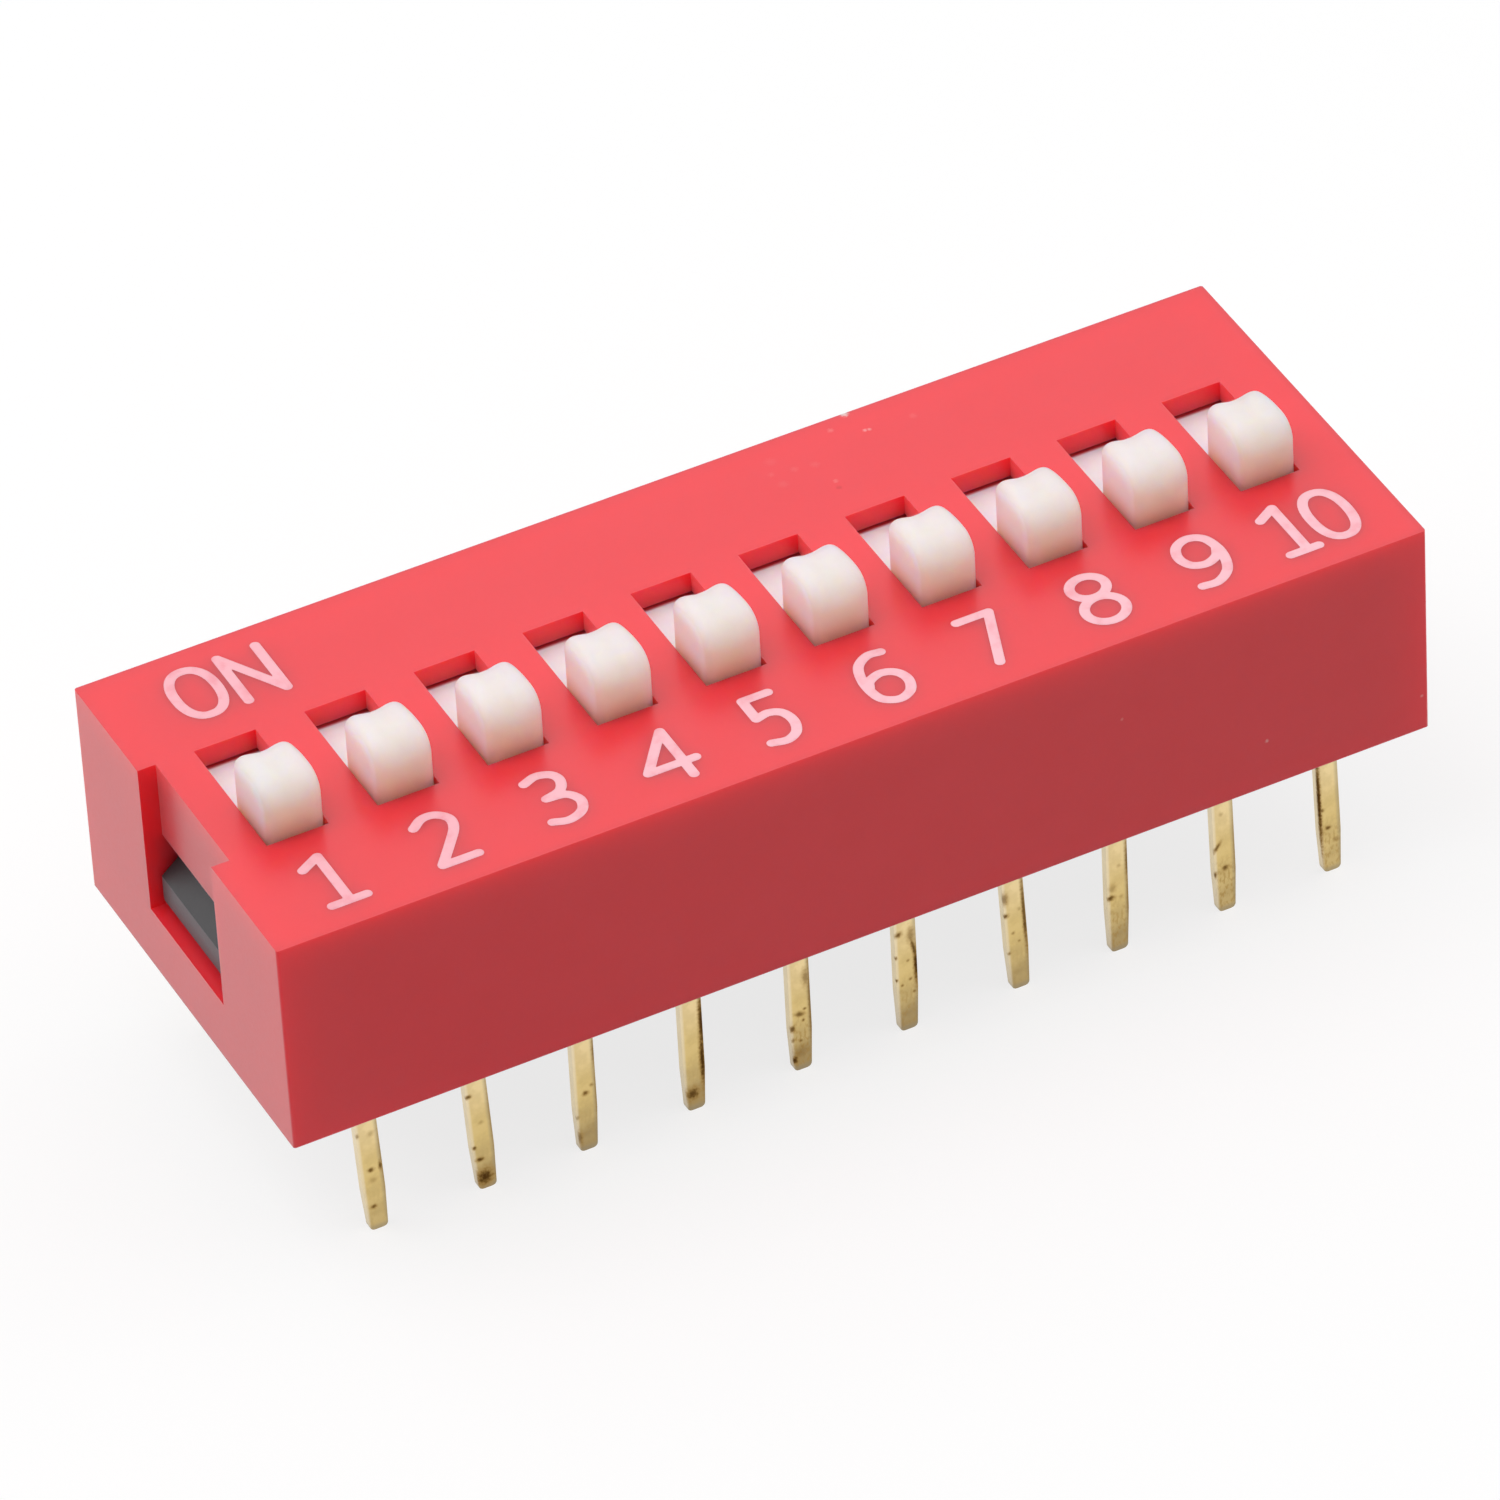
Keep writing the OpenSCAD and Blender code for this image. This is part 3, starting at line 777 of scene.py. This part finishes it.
@dataclass
class Slides:
    """Ten slides, each a knob on a shutter plate with a carrier and a staked peg under it."""

    knob: Triple = (1.36, 1.64, 1.9)  # Width, length and full height of a knob, from the plate up.
    plate: Triple = (1.75, 5.7, 0.5)  # Width, length and thickness of a shutter plate.
    carrier: Triple = (1.75, 3.6, 1.37)  # Width, length and height of the carrier under the plate.
    skirt: float = 0.24  # Thickness of the two skirts that hang beside the contact.
    peg: Triple = (0.5, 0.86, 0.12)  # Diameter of the peg, and diameter and height of its staked head.
    head_edges: Pair = (0.03, 0.02)  # Chamfers of the head below and above.
    leaf: float = 0.1  # Thickness of the contact between carrier and head.
    leaf_edge: float = 0.012  # Softened edge of the contact.
    # Radius of the knob's edges along its two flanks, upright ones and crown alike.
    flank_radius: float = 0.25
    back_radius: float = 0.26  # Radius of the crown's edge at the back.
    # Radius of the crown's edge at the front, at the flanks and in the middle.
    nose_radius: Pair = (0.58, 0.68)
    foot_radius: float = 0.3  # Radius of the hidden edges at the knob's foot.
    arch_radius: float = 2.5  # Radius of the crown's gentle arch from front to back.
    arch_lead: float = 0.12  # How far the top of that arch lies in front of the middle.
    dish: Pair = (0.058, 0.42)  # Depth and half width of the hollow along the crown.
    sink: float = 0.05  # How far the knob reaches into its plate.
    soft: float = 0.05  # Edge radius of the hidden parts.

    def side_profile(self, nose: float) -> tuple[Array, Array]:
        """Side view of a knob: a back, an arched crown and a front, joined by arcs.

        The arc between an upright line and the arch has its centre where a circle smaller than the arch by
        its radius, about the same centre, meets the line moved inwards by that radius.

        Args:
            nose: Radius of the crown's edge at the front.

        Returns:
            Points as Y and Z from the middle of the plate's top, and their outward directions, both once
            round the profile from the back of the foot.
        """
        half, height = self.knob[1] / 2, self.knob[2]
        arch = np.array([-self.arch_lead, height - self.arch_radius])

        def corner(side: float, radius: float) -> tuple[Array, float]:
            middle = side * (half - radius)
            rise = math.sqrt((self.arch_radius - radius) ** 2 - (middle - arch[0]) ** 2)
            return np.array([middle, arch[1] + rise]), math.atan2(rise, middle - arch[0])

        back, turn_back = corner(1, self.back_radius)
        front, turn_front = corner(-1, nose)
        foot_z = self.foot_radius - self.sink
        feet = np.array([[half - self.foot_radius, foot_z], [self.foot_radius - half, foot_z]])
        arcs = [
            (feet[0], self.foot_radius, -np.pi / 2, 0, 5), (back, self.back_radius, 0, turn_back, 8),
            (arch, self.arch_radius, turn_back, turn_front, 16), (front, nose, turn_front, np.pi, 14),
            (feet[1], self.foot_radius, np.pi, 1.5 * np.pi, 5),
        ]
        angle = [np.linspace(start, end, count + 1) for _, _, start, end, count in arcs]
        outward = [np.stack([np.cos(a), np.sin(a)], axis=1) for a in angle]
        stretch = [centre + radius * out for (centre, radius, *_), out in zip(arcs, outward)]
        share = np.linspace(0, 1, 9)[1:-1, None]
        for k in (3, 0):
            start, end = stretch[k][-1], stretch[k + 1][0]
            stretch.insert(k + 1, start + (end - start) * share)
            outward.insert(k + 1, np.repeat(outward[k][-1:], len(share), axis=0))
        points, outward = np.vstack(stretch), np.vstack(outward)
        fresh = np.append(True, np.linalg.norm(np.diff(points, axis=0), axis=1) > 1e-6)
        return points[fresh], outward[fresh]

    def knob_points(self, centre: Array, top: float) -> Solid:
        """Pillow block: the side profile carried across X, with rounded flanks and a hollow in its crown.

        Near a flank the profile shrinks along its outward directions by the sagitta of the edge radius, and
        on the flank it shrinks towards its middle. The nose is blunter in the middle than at the flanks. The
        hollow is a cosine-squared across X, and follows the upward part of the outward direction.

        Args:
            centre: X and Y of the knob's middle.
            top: Height of its top.

        Returns:
            Vertices in millimetres, and faces.
        """
        half, edge = self.knob[0] / 2, self.flank_radius
        bend = np.linspace(0, np.pi / 2, 8)
        across = np.linspace(0, half - edge, 9)[:-1]
        inwards = np.array([0.75, 0.5, 0.25, 0.05])
        x = np.concatenate([across, half - edge + edge * np.sin(bend), 0 * inwards + half])
        inset = np.concatenate([0 * across, edge * (1 - np.cos(bend)), 0 * inwards + edge])
        shrink = np.concatenate([np.ones(len(across) + len(bend)), inwards])
        x, inset, shrink = (
            np.concatenate([sign * v[:0:-1], v]) for sign, v in ((-1, x), (1, inset), (1, shrink)))
        (sharp, out_sharp), (blunt, out_blunt) = (self.side_profile(nose) for nose in self.nose_radius)
        middle = np.clip(1 - (x / half) ** 2, 0, 1)[:, None, None]
        profile, outward = sharp + (blunt - sharp) * middle, out_sharp + (out_blunt - out_sharp) * middle
        outward /= np.linalg.norm(outward, axis=2, keepdims=True)
        depth, reach = self.dish
        hollow = depth * np.cos(np.clip(x / reach, -1, 1) * np.pi / 2) ** 2
        up = smooth_step(0.1, 0.7, outward[..., 1])
        profile = profile - outward * (inset[:, None] + hollow[:, None] * up)[..., None]
        heart = np.array([0.0, self.knob[2] / 2])
        profile = heart + (profile - heart) * shrink[:, None, None]
        rings = np.dstack([np.broadcast_to(x[:, None], profile.shape[:2]), profile])
        place = np.array([centre[0], centre[1], top - self.knob[2]])
        points, faces = capped(rings, np.array([[-half, *heart], [half, *heart]]))
        return points + place, faces

    def block(self, size: Sequence[float], middle: Sequence[float]) -> Solid:
        """Block with softened edges, of the given size about the given middle."""
        cube, faces = cube_surface(edge_steps(4, 3, 0.2))
        return round_block(cube, np.array(size) / 2, self.soft) + np.array(middle), faces

    def shutter(self, centre: Array, top: float, foot: float) -> Solid:
        """Shutter plate, carrier, skirts and staked peg.

        Args:
            centre: X and Y of the knob's middle.
            top: Height of the plate's top.
            foot: Height of the skirts' lower edge.

        Returns:
            Vertices in millimetres, and faces.
        """
        x, y = centre
        under = top - self.plate[2]
        floor = under - self.carrier[2]
        lap = 2 * self.soft
        stem, head, head_h = self.peg
        outer = x + (self.carrier[0] - self.skirt) / 2 * np.array([-1, 1])
        carrier_h = self.carrier[2] + lap
        skirt_h = floor - foot + lap
        head_top = floor - self.leaf
        head_low = head_top - head_h
        rim, crease = self.head_edges
        profile = [
            (0, head_low), (head / 2 - rim, head_low), (head / 2, head_low + rim),
            (head / 2, head_top - crease), (head / 2 - crease, head_top), (stem / 2, head_top),
            (stem / 2, floor + lap), (0, floor + lap),
        ]
        return merge([
            self.block(self.plate, (x, y, top - self.plate[2] / 2)),
            self.block((*self.carrier[:2], carrier_h), (x, y, floor + carrier_h / 2)),
            *(self.block((self.skirt, self.carrier[1], skirt_h), (side, y, foot + skirt_h / 2))
              for side in outer),
            turned(profile, (x, y)),
        ])

    def build(self) -> None:
        """Builds every knob and shutter."""
        low, high = box_mm("slider_01")
        datum = (0.0, (low[1] + high[1]) / 2, box_mm("cover")[1][2])
        cream = SLIDE_CREAM.material(datum)
        white = SHUTTER_WHITE.material(datum)
        strip = CONTACT_STRIP.material()
        for number in range(1, WAYS + 1):
            node = f"slider_{number:02d}"
            low, high = box_mm(node)
            centre = (low[:2] + high[:2]) / 2
            body = Body.SWITCH.named(number)
            points, faces = self.knob_points(centre, high[2])
            make_piece(f"knob_{number:02d}", points, faces, cream, body, node)
            points, faces = self.shutter(centre, high[2] - self.knob[2], low[2])
            make_piece(f"shutter_{number:02d}", points, faces, white, body, node)
            dress_node(f"contact_{number:02d}", strip, self.leaf_edge)


@dataclass
class Terminals:
    """Two rows of flat pins."""

    edge: float = 0.04  # Rolled-over edge that stamping leaves.
    # Slant of the front pins that don't stand straight, in degrees, by switch number.
    lean: dict[int, float] = field(default_factory=lambda: {1: 2.4, 2: 2.4, 7: 2.2, 9: 1.2, 10: 1.8})
    # How far the flash is worn off the tip of each front pin.
    wear: tuple[float, ...] = (0.45, 0.8, 0.9, 0.9, 0.95, 0.95, 0.75, 0.85, 0.55, 0.4)
    # Strength of the mottle on each front pin.
    mottle: tuple[float, ...] = (0.1, 0.1, 0.15, 0.15, 0.6, 0.35, 0.15, 0.5, 0.6, 0.5)
    # Tarnish spots on the front pins, by switch number. The tall narrow ones along an edge are partly
    # tarnish and partly painted shade for the edge's dark reflection.
    spots: dict[int, tuple[Stain, ...]] = field(default_factory=lambda: {
        1: stains(
            (-0.22, -1.22, 0.06, 0.1, 0.5), (0.08, -1.27, 0.12, 0.12, 0.3), (0.2, -2.22, 0.07, 0.22),
            (-0.02, -2.26, 0.13, 0.1), (0.0, -2.55, 0.14, 0.12, 0.3), (-0.07, -3.28, 0.12, 0.1),
            (0.24, -2.0, 0.05, 1.8, 0.35),
        ),
        2: stains(
            (-0.19, -1.28, 0.12, 0.09), (0.02, -2.08, 0.09, 0.08, 0.3), (-0.2, -2.72, 0.08, 0.08),
            (-0.11, -3.08, 0.16, 0.1, 0.9), (-0.05, -3.6, 0.34, 0.38, 1.0, 15),
            (0.24, -2.0, 0.05, 1.8, 0.35),
        ),
        3: stains(
            (0.15, -2.18, 0.08, 0.08, 0.5), (0.0, -2.35, 0.12, 0.1), (-0.22, -2.95, 0.09, 0.09, 0.4),
            (-0.2, -3.52, 0.12, 0.3, 0.6), (0.24, -1.3, 0.07, 0.7, 0.6), (0.24, -2.4, 0.05, 1.4, 0.4),
        ),
        4: stains(
            (0.225, -1.6, 0.11, 1.4, 1.0), (0.2, -2.6, 0.11, 1.4, 1.0), (-0.07, -3.47, 0.26, 0.3, 0.9),
        ),
        5: stains(
            (0.16, -1.42, 0.14, 0.38, 0.55), (-0.02, -2.38, 0.2, 0.11, 0.75, 20),
            (-0.21, -2.72, 0.12, 0.15), (-0.19, -3.6, 0.16, 0.19, 1.0), (0.235, -2.1, 0.07, 2.4, 0.6),
            (0.06, -2.58, 0.06, 0.07, 0.7), (0.1, -2.28, 0.07, 0.06, 0.7), (-0.2, -3.05, 0.07, 0.1, 0.6),
            (-0.02, -3.12, 0.07, 0.07, 0.6), (-0.04, -3.42, 0.34, 0.36, 0.35),
        ),
        6: stains(
            (-0.16, -1.23, 0.13, 0.12), (0.13, -1.35, 0.14, 0.38, 0.55),
            (0.19, -1.75, 0.08, 0.6, 0.85, -12), (0.225, -2.2, 0.1, 0.9, 1.0), (-0.25, -2.47, 0.06, 0.07),
            (0.08, -2.55, 0.07, 0.07, 0.6), (0.16, -2.92, 0.07, 0.07, 0.6), (-0.24, -1.85, 0.06, 0.08, 0.7),
            (0.04, -2.02, 0.07, 0.06, 0.5), (-0.12, -2.66, 0.06, 0.06, 0.6),
        ),
        7: stains(
            (-0.21, -1.34, 0.14, 0.28, 0.6), (-0.22, -1.82, 0.12, 0.1), (0.11, -1.74, 0.08, 0.08, 0.3),
            (0.215, -1.9, 0.08, 1.8, 0.8), (0.21, -2.25, 0.08, 0.6, 0.85), (-0.21, -2.88, 0.07, 0.07, 0.6),
            (-0.08, -2.35, 0.07, 0.07, 0.5), (0.05, -2.62, 0.06, 0.06, 0.5),
        ),
        8: stains(
            (-0.18, -2.4, 0.16, 0.12, 0.85), (-0.13, -2.15, 0.14, 0.2, 0.4), (0.08, -2.45, 0.08, 0.08, 0.3),
            (0.04, -1.58, 0.08, 0.08, 0.3), (0.235, -1.5, 0.07, 1.0, 0.7), (0.235, -2.5, 0.06, 1.2, 0.5),
        ),
        9: stains(
            (-0.17, -2.1, 0.08, 0.27, 0.75, 35), (0.0, -2.74, 0.14, 0.12), (-0.25, -2.85, 0.07, 0.14),
            (-0.04, -1.22, 0.08, 0.08, 0.3), (0.24, -2.2, 0.05, 1.6, 0.35),
        ),
        10: stains(
            (-0.235, -1.9, 0.09, 2.4, 1.0), (-0.18, -2.16, 0.1, 0.1, 0.7), (-0.06, -2.7, 0.12, 0.1),
            (0.12, -3.08, 0.14, 0.12, 0.4),
        ),
    })

    def build(self) -> None:
        """Dresses every pin."""
        plain = PlatedStrip("gold_flashed_brass_strip").material()
        for number in range(1, WAYS + 1):
            low, high = box_mm(f"slider_{number:02d}")
            finish = PlatedStrip(
                f"gold_flashed_brass_spotted_{number:02d}", stains=self.spots[number],
                wear=self.wear[number - 1], mottle=self.mottle[number - 1], lean=self.lean.get(number, 0.0),
            )
            front = f"terminal_front_{number:02d}"
            outer = box_mm(front)[0][1]
            dress_node(front, finish.material((low[0] + high[0]) / 2, outer), self.edge)
            dress_node(f"terminal_back_{number:02d}", plain, self.edge)


def curve(points: Stroke, per_span: int = 8) -> Array:
    """Smooth curve through the given points, as a Catmull-Rom spline.

    Args:
        points: Points that the curve passes through. Where the last repeats the first, the curve closes.
        per_span: Steps between two points.

    Returns:
        Points along the curve.
    """
    p = np.array(points, dtype=float)
    closed = np.allclose(p[0], p[-1])
    before = p[-2] if closed else 2 * p[0] - p[1]
    after = p[1] if closed else 2 * p[-1] - p[-2]
    p = np.vstack([before, p, after])
    t = np.linspace(0, 1, per_span, endpoint=False)[None, :, None]
    a, b, c, d = (p[k:len(p) - 3 + k, None, :] for k in range(4))
    path = 0.5 * (2 * b + (c - a) * t + (2 * a - 5 * b + 4 * c - d) * t**2 + (3 * b - a - 3 * c + d) * t**3)
    return np.vstack([path.reshape(-1, 2), p[-2]])


def ring(x: float, y: float, rx: float, ry: float, squareness: float = 2.2) -> Array:
    """Closed superellipse about a centre, a little squarer than an ellipse."""
    t = np.linspace(0, 2 * np.pi, 65)
    c, s = np.cos(t), np.sin(t)
    power = 2 / squareness
    across, up = np.sign(c) * np.abs(c) ** power, np.sign(s) * np.abs(s) ** power
    return np.stack([x + rx * across, y + ry * up], axis=1)


@dataclass
class Printing:
    """Pad-printed ON and the numbers of the switches."""

    stroke: float = 0.23  # Width of a printed line.
    film: float = 0.012  # Height of the ink over the plastic.
    shoulder: float = 0.05  # Width over which the film's edge rounds down.
    dive: float = 0.6  # Slope of the film outside the stroke, where it runs down into the plastic.
    sink: float = 0.05  # How far the film's flat underside lies in the plastic.
    step: float = 0.024  # Spacing of the grid that the ink is worked out on.

    def glyphs(self) -> dict[str, list[Array | Stroke]]:
        """Centre lines of each printed word or number.

        Returns:
            For each name, lines as X from the middle of its switch and Y from the middle of the row. ON
            stands at switch 1.
        """
        return {
            "on": [
                ring(0.16, 3.45, 0.48, 0.78, 2.3),
                [(1.0, 2.67), (1.0, 4.23), (1.89, 2.67), (1.89, 4.23)],
            ],
            "01": [[(-0.42, -2.84), (0.03, -2.58), (0.03, -4.15)], [(-0.38, -4.15), (0.41, -4.15)]],
            "02": [
                curve([(-0.41, -2.8), (-0.13, -2.6), (0.17, -2.62), (0.38, -2.86), (0.33, -3.18),
                    (0.03, -3.6), (-0.39, -4.13)]),
                [(-0.39, -4.15), (0.42, -4.15)],
            ],
            "03": [
                curve([(-0.35, -2.68), (-0.03, -2.57), (0.27, -2.68), (0.36, -2.93), (0.21, -3.22),
                    (-0.15, -3.33)]),
                curve([(-0.15, -3.33), (0.27, -3.4), (0.45, -3.7), (0.32, -4.02), (-0.03, -4.16),
                    (-0.37, -4.06)]),
            ],
            "04": [[(0.31, -4.15), (0.31, -2.58), (-0.51, -3.68), (0.59, -3.68)]],
            "05": [
                [(0.29, -2.58), (-0.31, -2.58), (-0.31, -3.24)],
                curve([(-0.31, -3.24), (-0.01, -3.18), (0.25, -3.32), (0.34, -3.66), (0.23, -4.0),
                    (-0.05, -4.16), (-0.39, -4.09)]),
            ],
            "06": [
                curve([(0.39, -2.6), (0.08, -2.58), (-0.23, -2.8), (-0.37, -3.2), (-0.39, -3.62),
                    (-0.29, -3.98), (0.03, -4.16), (0.35, -4.02), (0.48, -3.68), (0.37, -3.36),
                    (0.07, -3.22), (-0.25, -3.34), (-0.37, -3.56)]),
            ],
            "07": [[(-0.35, -2.58), (0.41, -2.58), (-0.15, -4.15)]],
            "08": [ring(0.05, -2.93, 0.4, 0.36, 2.0), ring(0.04, -3.73, 0.45, 0.42, 2.0)],
            "09": [
                curve([(-0.39, -4.12), (-0.03, -4.14), (0.31, -3.9), (0.47, -3.5), (0.49, -3.1),
                    (0.37, -2.72), (0.05, -2.57), (-0.27, -2.72), (-0.39, -3.06), (-0.27, -3.38),
                    (0.03, -3.5), (0.33, -3.38), (0.46, -3.16)]),
            ],
            "10": [
                [(-0.85, -2.84), (-0.43, -2.58), (-0.43, -4.15)],
                [(-0.84, -4.15), (-0.17, -4.15)],
                ring(0.52, -3.36, 0.43, 0.79, 2.3),
            ],
        }

    def film_mesh(self, lines: list[Array], top: float) -> Solid:
        """Ink film over a set of centre lines.

        The film's height on a grid is a rounded step of the distance to the nearest centre line. It dives
        just under the plastic past the edge of the stroke, so that the plastic's face cuts a clean outline.
        A flat underside closes it.

        Args:
            lines: Centre lines.
            top: Height of the plastic's face.

        Returns:
            Vertices in millimetres, and faces.
        """
        half, margin = self.stroke / 2, 2.5 * self.step
        every = np.vstack(lines)
        low, high = every.min(axis=0) - half - margin, every.max(axis=0) + half + margin
        xs = np.arange(low[0], high[0] + self.step, self.step)
        ys = np.arange(low[1], high[1] + self.step, self.step)
        x, y = np.meshgrid(xs, ys, indexing="ij")
        here = np.stack([x, y], axis=-1).reshape(-1, 1, 2)
        nearest = np.full(len(here), np.inf)
        for path in lines:
            start, run = path[:-1][None], np.diff(path, axis=0)[None]
            length = np.maximum((run**2).sum(axis=-1), 1e-12)
            along = np.clip(((here - start) * run).sum(axis=-1) / length, 0, 1)[..., None]
            gap = np.linalg.norm(here - start - along * run, axis=-1).min(axis=1)
            nearest = np.minimum(nearest, gap)
        nearest = nearest.reshape(x.shape)
        inside = half - nearest
        rise = 1 - (1 - np.clip(inside / self.shoulder, 0, 1)) ** 2
        height = np.where(inside > 0, self.film * rise, inside * self.dive)
        cell = cells(inside > -1.6 * self.step).all(axis=-1)
        index = np.arange(x.size).reshape(x.shape)
        quads = cells(index)[cell]
        edges = np.stack([quads, np.roll(quads, -1, axis=1)], axis=-1).reshape(-1, 2)
        pair = np.sort(edges, axis=1)
        _, which, times = np.unique(pair, axis=0, return_inverse=True, return_counts=True)
        rim = edges[times[which.reshape(-1)] == 1]
        below = x.size
        wall = np.stack([rim[:, 1], rim[:, 0], rim[:, 0] + below, rim[:, 1] + below], axis=1)
        faces = np.vstack([quads, quads[:, ::-1] + below, wall])
        points = np.concatenate([
            np.stack([x, y, top + height], axis=-1).reshape(-1, 3),
            np.stack([x, y, np.full_like(x, top - self.sink)], axis=-1).reshape(-1, 3),
        ])
        used, back = np.unique(faces, return_inverse=True)
        return points[used], back.reshape(faces.shape)

    def build(self) -> None:
        """Prints every word and number on the top of the cover."""
        low, high = box_mm("cover")
        material = PadInk().material(low[0])
        for name, lines in self.glyphs().items():
            left, right = box_mm("slider_01" if name == "on" else f"slider_{name}")
            middle = np.array([left[0] + right[0], low[1] + high[1]]) / 2
            points, faces = self.film_mesh([line + middle for line in lines], high[2])
            make_piece(f"print_{name}", points, faces, material, Body.HOUSING.named())


# ---- Stage ----


@dataclass(frozen=True)
class Lamp:
    """Soft box that looks at the part."""

    name: str  # Name of the lamp.
    azimuth: float  # Direction it stands in, in degrees, 0 in front and positive to the right.
    elevation: float  # Height above the horizon in degrees.
    power: float  # Power in watts.
    distance: float = 0.36  # Distance from the part in metres.
    size: Pair = (0.3, 0.3)  # Width and height in metres.

    def build(self) -> None:
        """Puts the lamp into the scene."""
        data = bpy.data.lights.new(self.name, "AREA")
        data.shape = "RECTANGLE"
        data.size, data.size_y = self.size
        data.energy = self.power
        lamp = bpy.data.objects.new(self.name, data)
        lamp.visible_camera = False
        away = direction(self.azimuth, self.elevation)
        lamp.location = away * self.distance
        lamp.rotation_mode = "QUATERNION"
        lamp.rotation_quaternion = (-away).to_track_quat("-Z", "Y")
        bpy.context.scene.collection.objects.link(lamp)


def direction(azimuth: float, elevation: float) -> Vector:
    """Unit vector from the part towards a viewer at the given azimuth and elevation in degrees."""
    a, e = math.radians(azimuth), math.radians(elevation)
    return Vector((math.sin(a) * math.cos(e), -math.cos(a) * math.cos(e), math.sin(e)))


@dataclass
class Studio:
    """White floor, soft boxes and the camera."""

    aim: Triple = (-1.025, -1.659, 3.14)  # Point that the camera looks at, in millimetres.
    azimuth: float = -25.203  # Direction that the camera stands in, in degrees.
    elevation: float = 39.802  # Height of the camera above the horizon, in degrees.
    roll: float = -3.345  # Turn of the camera about its line of sight, in degrees.
    distance: float = 272.3  # Distance from the camera to that point, in millimetres.
    lens: float = 312.25  # Focal length in millimetres on a sensor 36 mm wide.
    fill: float = 0.02  # Strength of the light from all round.
    bounce: str = "#C8C8C8"  # Colour of the floor as it throws light back.
    lift: float = 0.78  # Share of the floor's white that no shadow darkens.
    # Soft boxes.
    lamps: tuple[Lamp, ...] = (
        Lamp("overhead_box", 0, 84, 0.35, distance=0.32, size=(0.34, 0.34)),
        Lamp("left_box", -95, 58, 0.52),
        Lamp("back_left_box", -135, 35, 0.3, size=(0.32, 0.26)),
        Lamp("back_box", 175, 45, 0.2),
        Lamp("front_box", 5, 35, 0.13),
        Lamp("back_right_box", 115, 35, 0.2),
        Lamp("right_box", 70, 40, 0.32),
    )

    def camera(self) -> None:
        """Sets the camera up."""
        data = bpy.data.cameras.new("camera")
        data.lens, data.sensor_width = self.lens, 36.0
        data.clip_start, data.clip_end = 0.01, 10.0
        camera = bpy.data.objects.new("camera", data)
        away = direction(self.azimuth, self.elevation)
        camera.location = Vector(self.aim) * MM + away * self.distance * MM
        camera.rotation_mode = "QUATERNION"
        level = (-away).to_track_quat("-Z", "Y")
        camera.rotation_quaternion = level @ Quaternion((0, 0, 1), math.radians(self.roll))
        bpy.context.scene.collection.objects.link(camera)
        bpy.context.scene.camera = camera

    @staticmethod
    def by_ray(tree: Tree, light: Node, sight: Node) -> Node:
        """Shows sight to the eye, directly or in gloss and glass, and throws light on the part."""
        path = add(tree, "LightPath").outputs
        gloss = add(tree, "Math", (path["Is Glossy Ray"], path["Is Transmission Ray"]), operation="MAXIMUM")
        seen = add(tree, "Math", (path["Is Camera Ray"], gloss), operation="MAXIMUM")
        return add(tree, "MixShader", (seen, light, sight))

    def floor(self) -> None:
        """Lays a white floor under the tips of the pins."""
        low, _ = CAD_BOX
        mesh = bpy.data.meshes.new("floor")
        reach = 1.2
        corners = [(-reach, -reach), (reach, -reach), (reach, reach), (-reach, reach)]
        mesh.from_pydata([(x, y, low.z) for x, y in corners], [], [(0, 1, 2, 3)])
        floor = bpy.data.objects.new("floor", mesh)
        bpy.context.scene.collection.objects.link(floor)
        made, tree, _ = new_material("white_paper_sweep")
        paper = add(tree, "BsdfDiffuse", {"Color": srgb(self.bounce)})
        white = add(tree, "BsdfDiffuse", {"Color": WHITE})
        glow = add(tree, "Emission", {"Color": WHITE, "Strength": 1.0})
        shown = add(tree, "MixShader", (self.lift, white, glow))
        add(tree, "OutputMaterial", {"Surface": self.by_ray(tree, paper, shown)})
        mesh.materials.append(made)

    def world(self) -> None:
        """White to the eye and in reflections, and a weak fill otherwise."""
        world = bpy.data.worlds.new("studio")
        bpy.context.scene.world = world
        world.use_nodes = True
        tree = world.node_tree
        tree.nodes.clear()
        fill = add(tree, "Background", {"Color": WHITE, "Strength": self.fill})
        white = add(tree, "Background", {"Color": WHITE, "Strength": 1.0})
        add(tree, "OutputWorld", {"Surface": self.by_ray(tree, fill, white)})

    def build(self) -> None:
        """Builds the stage."""
        bpy.context.scene.view_settings.view_transform = "Standard"
        self.camera()
        self.floor()
        self.world()
        for lamp in self.lamps:
            lamp.build()


def main() -> None:
    """Builds the part and its stage."""
    logging.basicConfig(level=logging.INFO, format="%(name)s %(message)s")
    Studio().build()
    Housing().build()
    Slides().build()
    Terminals().build()
    Printing().build()


if __name__ == "__main__":
    main()
